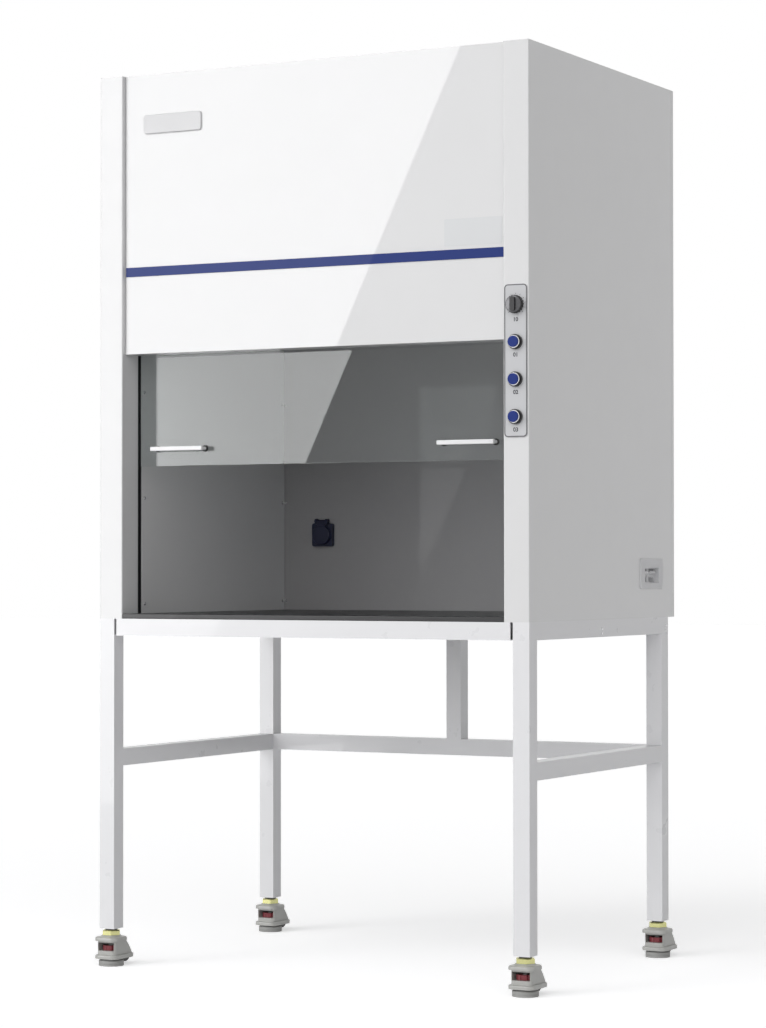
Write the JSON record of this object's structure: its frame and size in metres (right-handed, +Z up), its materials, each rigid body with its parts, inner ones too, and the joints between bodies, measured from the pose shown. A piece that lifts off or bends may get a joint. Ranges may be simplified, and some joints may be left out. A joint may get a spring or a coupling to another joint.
{
  "type": "fume hood",
  "caption": "Free-standing laboratory fume hood on a tube stand with levelling casters, a counterbalanced glass sash, a roof blower and a duct spigot.",
  "frame": {"origin": "on the floor, under the middle of the whole hood's outline", "axes": "+Z up, the sash faces -Y, +X towards the control plate's side"},
  "size_m": [1.201, 0.8979, 2.255],
  "materials": {
    "white_coat": "semi-gloss powder coat",
    "stand_coat": "semi-gloss powder coat",
    "blue_trim": "gloss",
    "dark_top": "satin",
    "grey_lining": "gloss",
    "clear_glass": "polished",
    "black_guide": "matt",
    "bright_metal": "satin",
    "nylon": "satin",
    "plain_steel": "brushed",
    "weight_steel": "matt paint",
    "lamp_white": "satin",
    "motor_grey": "hammer paint",
    "fascia_silver": "satin",
    "control_chrome": "polished",
    "knob_black": "satin",
    "cap_blue": "gloss",
    "isolator_grey": "satin",
    "toggle_grey": "satin",
    "socket_navy": "satin",
    "zinc": "yellow-passivated zinc",
    "cast_alloy": "die-cast, painted",
    "black_nylon": "matt",
    "red_thumb": "satin",
    "grey_pad": "matt"
  },
  "bodies": {
    "frame": {"left_side_panel": "white_coat", "right_side_panel": "white_coat", "rear_panel": "white_coat", "roof_panel": "white_coat", "front_fascia": "white_coat", "blue_trim_strip": "blue_trim", "work_surface": "dark_top", "left_liner": "grey_lining", "right_liner": "grey_lining", "rear_liner": "grey_lining", "ceiling_liner": "grey_lining", "sash_guides": "black_guide", "pulley_brackets": "plain_steel", "lamp": "lamp_white", "blower_scroll": "plain_steel", "suction_box": "plain_steel", "blower_motor": "motor_grey", "exhaust_spigot": "plain_steel", "control_plate": "fascia_silver", "control_bodies": "control_chrome", "isolator_box": "isolator_grey", "socket_base": "socket_navy", "stand_legs": "stand_coat", "stand_front_rail": "stand_coat", "stand_side_rails": "stand_coat", "stand_rear_frame": "stand_coat", "caster_stems": "zinc"},
    "sash": {"sash_glass": "clear_glass", "sash_handles": "bright_metal", "sash_clamp_rail": "bright_metal", "sash_side_cables": "plain_steel"},
    "weights": {"counterweights": "weight_steel", "weight_side_cables": "plain_steel"},
    "left_pulley": {"left_sash_pulley": "nylon"},
    "right_pulley": {"right_sash_pulley": "nylon"},
    "fan": {"blower_wheel": "plain_steel"},
    "knob": {"speed_knob": "knob_black"},
    "button_1": {"top_button": "cap_blue"},
    "button_2": {"middle_button": "cap_blue"},
    "button_3": {"bottom_button": "cap_blue"},
    "breaker": {"breaker_toggle": "toggle_grey"},
    "lid": {"socket_lid": "socket_navy"},
    "front_left_caster": {"front_left_caster_housing": "cast_alloy"},
    "front_left_wheel": {"front_left_caster_wheel": "black_nylon"},
    "front_left_thumbwheel": {"front_left_caster_thumbwheel": "red_thumb"},
    "front_left_pad": {"front_left_caster_pad": "grey_pad"},
    "front_right_caster": {"front_right_caster_housing": "cast_alloy"},
    "front_right_wheel": {"front_right_caster_wheel": "black_nylon"},
    "front_right_thumbwheel": {"front_right_caster_thumbwheel": "red_thumb"},
    "front_right_pad": {"front_right_caster_pad": "grey_pad"},
    "rear_left_caster": {"rear_left_caster_housing": "cast_alloy"},
    "rear_left_wheel": {"rear_left_caster_wheel": "black_nylon"},
    "rear_left_thumbwheel": {"rear_left_caster_thumbwheel": "red_thumb"},
    "rear_left_pad": {"rear_left_caster_pad": "grey_pad"},
    "rear_right_caster": {"rear_right_caster_housing": "cast_alloy"},
    "rear_right_wheel": {"rear_right_caster_wheel": "black_nylon"},
    "rear_right_thumbwheel": {"rear_right_caster_thumbwheel": "red_thumb"},
    "rear_right_pad": {"rear_right_caster_pad": "grey_pad"}
  },
  "joints": [
    {"name": "sash_slide", "type": "slide", "parent": "frame", "child": "sash", "axis": [0, 0, 1], "range_m": [-0.363, 0.244], "deforming": ["sash_side_cables"]},
    {"name": "weights_slide", "type": "slide", "parent": "frame", "child": "weights", "axis": [0, 0, 1], "range_m": [-0.2445, 0.3635], "deforming": ["weight_side_cables"]},
    {"name": "left_pulley_spin", "type": "hinge", "parent": "frame", "child": "left_pulley", "pos_m": [-0.5375, -0.32275, 2.15], "axis": [0, 1, 0], "range_deg": [-509, 757]},
    {"name": "right_pulley_spin", "type": "hinge", "parent": "frame", "child": "right_pulley", "pos_m": [0.5375, -0.32275, 2.15], "axis": [0, 1, 0], "range_deg": [-757, 509]},
    {"name": "blower_spin", "type": "hinge", "parent": "frame", "child": "fan", "pos_m": [0, 0.143, 1.805], "axis": [1, 0, 0], "continuous": true},
    {"name": "knob_turn", "type": "hinge", "parent": "frame", "child": "knob", "pos_m": [0.555, -0.42325, 1.58945], "axis": [0, -1, 0], "range_deg": [-135, 135]},
    {"name": "button_1_press", "type": "slide", "parent": "frame", "child": "button_1", "axis": [0, 1, 0], "range_m": [0, 0.003], "stiffness_N_per_m": 400, "springref_m": -0.002},
    {"name": "button_2_press", "type": "slide", "parent": "frame", "child": "button_2", "axis": [0, 1, 0], "range_m": [0, 0.003], "stiffness_N_per_m": 400, "springref_m": -0.002},
    {"name": "button_3_press", "type": "slide", "parent": "frame", "child": "button_3", "axis": [0, 1, 0], "range_m": [0, 0.003], "stiffness_N_per_m": 400, "springref_m": -0.002},
    {"name": "breaker_throw", "type": "hinge", "parent": "frame", "child": "breaker", "pos_m": [0.5705, 0.29125, 0.9635], "axis": [0, 1, 0], "range_deg": [0, 70]},
    {"name": "socket_lid_hinge", "type": "hinge", "parent": "frame", "child": "lid", "pos_m": [-0.3985, 0.36425, 1.108], "axis": [-1, 0, 0], "range_deg": [0, 110]},
    {"name": "front_left_swivel", "type": "hinge", "parent": "frame", "child": "front_left_caster", "pos_m": [-0.5665, -0.39975, 0.076], "axis": [0, 0, 1], "continuous": true},
    {"name": "front_left_roll", "type": "hinge", "parent": "front_left_caster", "child": "front_left_wheel", "pos_m": [-0.5665, -0.34625, 0.024], "axis": [1, 0, 0], "continuous": true},
    {"name": "front_left_level", "type": "slide", "parent": "front_left_caster", "child": "front_left_pad", "axis": [0, 0, 1], "range_m": [-0.003, 0.008]},
    {"name": "front_left_thumb_turn", "type": "hinge", "parent": "front_left_caster", "child": "front_left_thumbwheel", "pos_m": [-0.5665, -0.39975, 0.0443], "axis": [0, 0, 1], "range_deg": [-1445, 545]},
    {"name": "front_right_swivel", "type": "hinge", "parent": "frame", "child": "front_right_caster", "pos_m": [0.5665, -0.39975, 0.076], "axis": [0, 0, 1], "continuous": true},
    {"name": "front_right_roll", "type": "hinge", "parent": "front_right_caster", "child": "front_right_wheel", "pos_m": [0.5665, -0.34625, 0.024], "axis": [1, 0, 0], "continuous": true},
    {"name": "front_right_level", "type": "slide", "parent": "front_right_caster", "child": "front_right_pad", "axis": [0, 0, 1], "range_m": [-0.003, 0.008]},
    {"name": "front_right_thumb_turn", "type": "hinge", "parent": "front_right_caster", "child": "front_right_thumbwheel", "pos_m": [0.5665, -0.39975, 0.0443], "axis": [0, 0, 1], "range_deg": [-1445, 545]},
    {"name": "rear_left_swivel", "type": "hinge", "parent": "frame", "child": "rear_left_caster", "pos_m": [-0.5665, 0.38025, 0.076], "axis": [0, 0, 1], "continuous": true},
    {"name": "rear_left_roll", "type": "hinge", "parent": "rear_left_caster", "child": "rear_left_wheel", "pos_m": [-0.5665, 0.43375, 0.024], "axis": [1, 0, 0], "continuous": true},
    {"name": "rear_left_level", "type": "slide", "parent": "rear_left_caster", "child": "rear_left_pad", "axis": [0, 0, 1], "range_m": [-0.003, 0.008]},
    {"name": "rear_left_thumb_turn", "type": "hinge", "parent": "rear_left_caster", "child": "rear_left_thumbwheel", "pos_m": [-0.5665, 0.38025, 0.0443], "axis": [0, 0, 1], "range_deg": [-1445, 545]},
    {"name": "rear_right_swivel", "type": "hinge", "parent": "frame", "child": "rear_right_caster", "pos_m": [0.5665, 0.38025, 0.076], "axis": [0, 0, 1], "continuous": true},
    {"name": "rear_right_roll", "type": "hinge", "parent": "rear_right_caster", "child": "rear_right_wheel", "pos_m": [0.5665, 0.43375, 0.024], "axis": [1, 0, 0], "continuous": true},
    {"name": "rear_right_level", "type": "slide", "parent": "rear_right_caster", "child": "rear_right_pad", "axis": [0, 0, 1], "range_m": [-0.003, 0.008]},
    {"name": "rear_right_thumb_turn", "type": "hinge", "parent": "rear_right_caster", "child": "rear_right_thumbwheel", "pos_m": [0.5665, 0.38025, 0.0443], "axis": [0, 0, 1], "range_deg": [-1445, 545]}
  ],
  "couplings": [
    {"joint": "weights_slide", "follows": "sash_slide", "ratio": -1},
    {"joint": "left_pulley_spin", "follows": "sash_slide", "rad_per_m": -36.364},
    {"joint": "right_pulley_spin", "follows": "sash_slide", "rad_per_m": 36.364},
    {"joint": "front_left_thumb_turn", "follows": "front_left_level", "rad_per_m": -3141.6},
    {"joint": "front_right_thumb_turn", "follows": "front_right_level", "rad_per_m": -3141.6},
    {"joint": "rear_left_thumb_turn", "follows": "rear_left_level", "rad_per_m": -3141.6},
    {"joint": "rear_right_thumb_turn", "follows": "rear_right_level", "rad_per_m": -3141.6}
  ]
}
